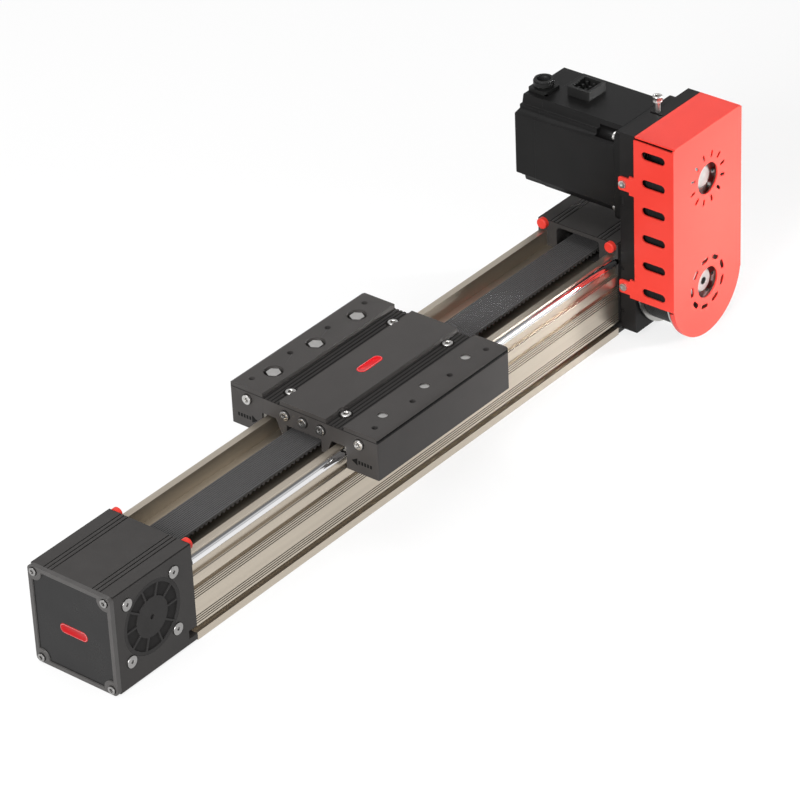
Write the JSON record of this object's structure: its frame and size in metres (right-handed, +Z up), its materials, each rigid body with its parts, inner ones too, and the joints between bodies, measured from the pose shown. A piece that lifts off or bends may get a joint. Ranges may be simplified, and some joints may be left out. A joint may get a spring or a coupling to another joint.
{
  "type": "belt driven linear actuator",
  "caption": "Belt driven linear actuator: grooved extruded rail, round guide rods, roller carriage, end housings and a side-mounted motor with a covered reduction belt.",
  "frame": {"origin": "middle of the rail's underside, on its centre plane", "axes": "+X along the rail from the idler end to the drive end, +Z up from the rail's underside to the carriage top, -Y towards the belt case"},
  "size_m": [0.7066, 0.1689, 0.203],
  "materials": {
    "champagne_anodised": "satin anodised extrusion",
    "hard_chrome": "ground and chromed",
    "black_anodised": "satin black anodised aluminium",
    "black_plastic": "matt moulded",
    "bearing_steel": "ground steel",
    "bright_steel": "bright plated",
    "pulley_aluminium": "machined",
    "belt_rubber": "matt black with fine ribs",
    "red_rubber": "moulded red",
    "red_paint": "satin red powder coat",
    "motor_black": "black enamel",
    "felt": "oiled felt",
    "red_inlay": "gloss",
    "roller_steel": "hardened and ground"
  },
  "bodies": {
    "frame": {"belt_case_plate": "black_anodised", "belt_cover": "red_paint", "belt_cover_screws": "bright_steel", "drive_bearings": "bearing_steel", "drive_cap_left": "black_plastic", "drive_cover_screws": "bright_steel", "drive_end_cover": "black_anodised", "drive_housing": "black_anodised", "drive_side_screws": "bright_steel", "end_bumpers": "red_rubber", "end_cover_inlay": "red_inlay", "guide_rods": "hard_chrome", "housing_tie_bolts": "bright_steel", "idler_bearings": "bearing_steel", "idler_cap_left": "black_plastic", "idler_cap_right": "black_plastic", "idler_cover_screws": "bright_steel", "idler_end_cover": "black_anodised", "idler_housing": "black_anodised", "idler_side_screws": "bright_steel", "main_belt": "belt_rubber", "motor_body": "motor_black", "motor_cap_screws": "bright_steel", "motor_end_cap": "motor_black", "motor_flange": "black_anodised", "motor_flange_screws": "bright_steel", "motor_round_connector": "black_plastic", "motor_square_socket": "black_plastic", "plate_screws": "bright_steel", "rail_profile": "champagne_anodised", "reduction_belt": "belt_rubber", "tension_screw": "bright_steel", "upper_tie_bolts": "bright_steel"},
    "idler": {"idler_pulley": "pulley_aluminium", "idler_shaft": "bearing_steel"},
    "drive_train": {"drive_pulley": "pulley_aluminium", "drive_shaft": "bearing_steel", "shaft_belt_pulley": "pulley_aluminium", "shaft_clamp_ring": "bright_steel"},
    "motor_rotor": {"motor_shaft": "bearing_steel", "motor_belt_pulley": "pulley_aluminium", "motor_clamp_ring": "bright_steel"},
    "carriage": {"carriage_centre": "black_anodised", "carriage_block_left": "black_anodised", "carriage_block_right": "black_anodised", "carriage_channel_screws": "bright_steel", "belt_clamps": "black_anodised", "belt_clamp_screws": "bright_steel", "rod_wipers": "felt", "oil_plug_screws": "bright_steel", "carriage_inlay": "red_inlay", "roller_pins_left": "bearing_steel", "roller_pins_right": "bearing_steel"},
    "roller_left_rear": {"roller_left_rear": "roller_steel"},
    "roller_left_middle": {"roller_left_middle": "roller_steel"},
    "roller_left_front": {"roller_left_front": "roller_steel"},
    "roller_right_rear": {"roller_right_rear": "roller_steel"},
    "roller_right_middle": {"roller_right_middle": "roller_steel"},
    "roller_right_front": {"roller_right_front": "roller_steel"}
  },
  "joints": [
    {"name": "carriage_slide", "type": "slide", "parent": "frame", "child": "carriage", "axis": [1, 0, 0], "range_m": [-0.17, 0.18], "deforming": ["main_belt", "reduction_belt"]},
    {"name": "idler_spin", "type": "hinge", "parent": "frame", "child": "idler", "pos_m": [-0.30625, 0, 0.047], "axis": [0, 1, 0], "range_deg": [-438, 464]},
    {"name": "drive_spin", "type": "hinge", "parent": "frame", "child": "drive_train", "pos_m": [0.30625, 0, 0.047], "axis": [0, 1, 0], "range_deg": [-438, 464]},
    {"name": "motor_spin", "type": "hinge", "parent": "frame", "child": "motor_rotor", "pos_m": [0.30625, 0, 0.143], "axis": [0, 1, 0], "range_deg": [-438, 464]},
    {"name": "roller_left_rear_spin", "type": "hinge", "parent": "carriage", "child": "roller_left_rear", "pos_m": [-0.0565, 0.0537, 0.0688], "axis": [0, 0, 1], "range_deg": [-800, 756]},
    {"name": "roller_left_middle_spin", "type": "hinge", "parent": "carriage", "child": "roller_left_middle", "pos_m": [-0.006, 0.0537, 0.0688], "axis": [0, 0, 1], "range_deg": [-800, 756]},
    {"name": "roller_left_front_spin", "type": "hinge", "parent": "carriage", "child": "roller_left_front", "pos_m": [0.0445, 0.0537, 0.0688], "axis": [0, 0, 1], "range_deg": [-800, 756]},
    {"name": "roller_right_rear_spin", "type": "hinge", "parent": "carriage", "child": "roller_right_rear", "pos_m": [-0.0565, -0.0537, 0.0688], "axis": [0, 0, 1], "range_deg": [-756, 800]},
    {"name": "roller_right_middle_spin", "type": "hinge", "parent": "carriage", "child": "roller_right_middle", "pos_m": [-0.006, -0.0537, 0.0688], "axis": [0, 0, 1], "range_deg": [-756, 800]},
    {"name": "roller_right_front_spin", "type": "hinge", "parent": "carriage", "child": "roller_right_front", "pos_m": [0.0445, -0.0537, 0.0688], "axis": [0, 0, 1], "range_deg": [-756, 800]}
  ],
  "couplings": [
    {"joint": "idler_spin", "follows": "carriage_slide", "rad_per_m": 44.88},
    {"joint": "drive_spin", "follows": "carriage_slide", "rad_per_m": 44.88},
    {"joint": "motor_spin", "follows": "carriage_slide", "rad_per_m": 44.88},
    {"joint": "roller_left_rear_spin", "follows": "carriage_slide", "rad_per_m": -77.519},
    {"joint": "roller_left_middle_spin", "follows": "carriage_slide", "rad_per_m": -77.519},
    {"joint": "roller_left_front_spin", "follows": "carriage_slide", "rad_per_m": -77.519},
    {"joint": "roller_right_rear_spin", "follows": "carriage_slide", "rad_per_m": 77.519},
    {"joint": "roller_right_middle_spin", "follows": "carriage_slide", "rad_per_m": 77.519},
    {"joint": "roller_right_front_spin", "follows": "carriage_slide", "rad_per_m": 77.519}
  ]
}
